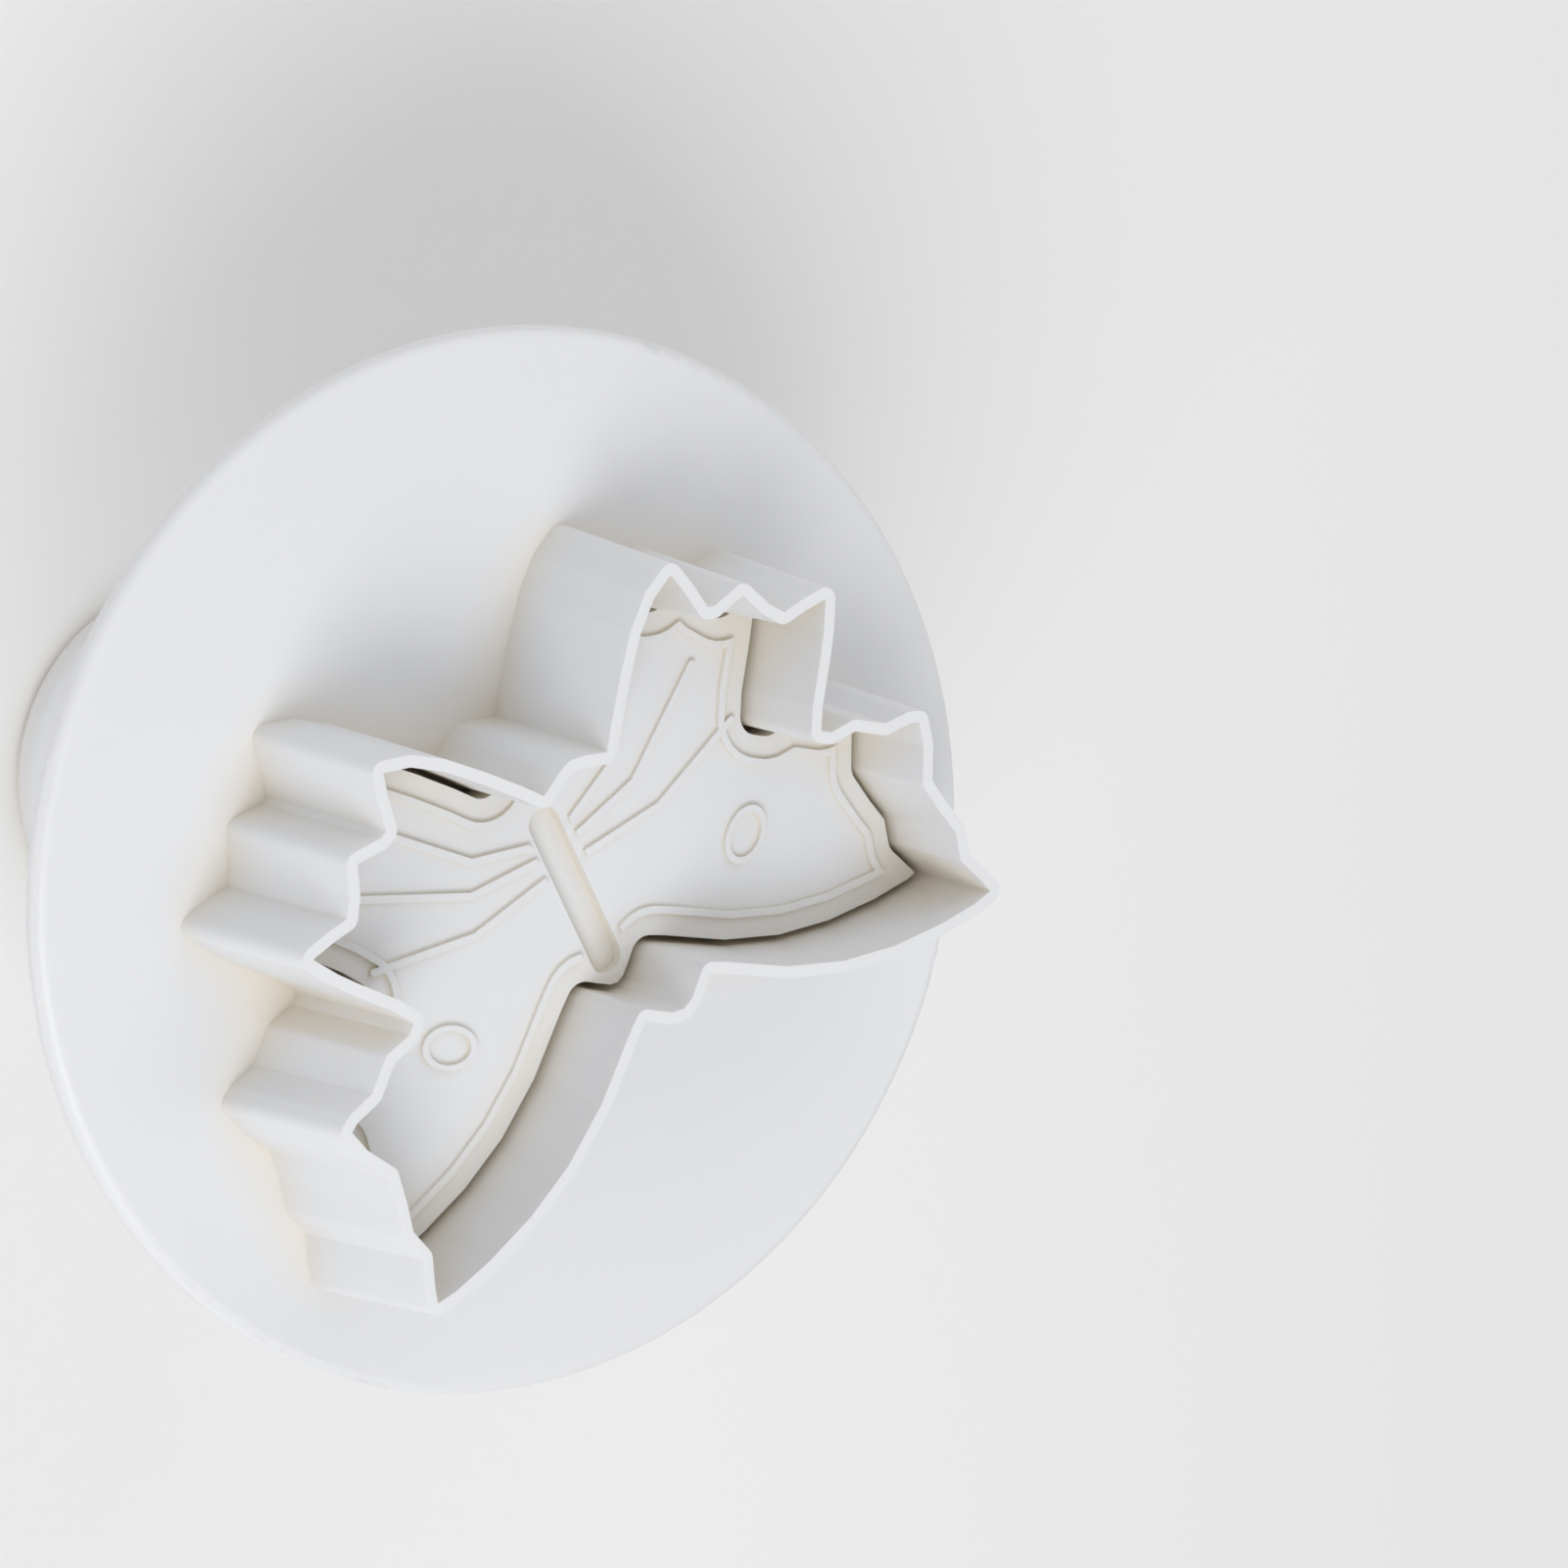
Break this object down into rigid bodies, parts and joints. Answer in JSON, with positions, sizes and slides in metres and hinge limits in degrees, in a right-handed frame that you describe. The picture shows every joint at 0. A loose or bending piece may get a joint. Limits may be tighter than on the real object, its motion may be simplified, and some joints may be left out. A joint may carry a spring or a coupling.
{
  "type": "plunger cutter",
  "caption": "Butterfly plunger cutter: scalloped cutting wall on a round flange, sprung embossing plate inside it and a round push knob behind.",
  "frame": {"origin": "bottom centre, at the middle of the knob's outer face, on which the cutter stands", "axes": "+Z along the plunger towards the cutting edge, +Y towards the butterfly's tail, -Y towards its head, X across the wings"},
  "size_m": [0.072, 0.072, 0.0611],
  "materials": {
    "body_plastic": "satin white moulded plastic",
    "plate_plastic": "satin white moulded plastic",
    "spring_steel": "bright drawn spring wire",
    "knob_plastic": "satin white moulded plastic"
  },
  "bodies": {
    "cutter": {"cutter_body": "body_plastic", "return_spring": "spring_steel"},
    "plunger": {"embossing_plate": "plate_plastic", "knob": "knob_plastic"}
  },
  "joints": [
    {"name": "plunger_slide", "type": "slide", "parent": "cutter", "child": "plunger", "axis": [0, 0, 1], "range_m": [0, 0.0085], "stiffness_N_per_m": 300, "springref_m": -0.01, "deforming": ["return_spring"]}
  ]
}
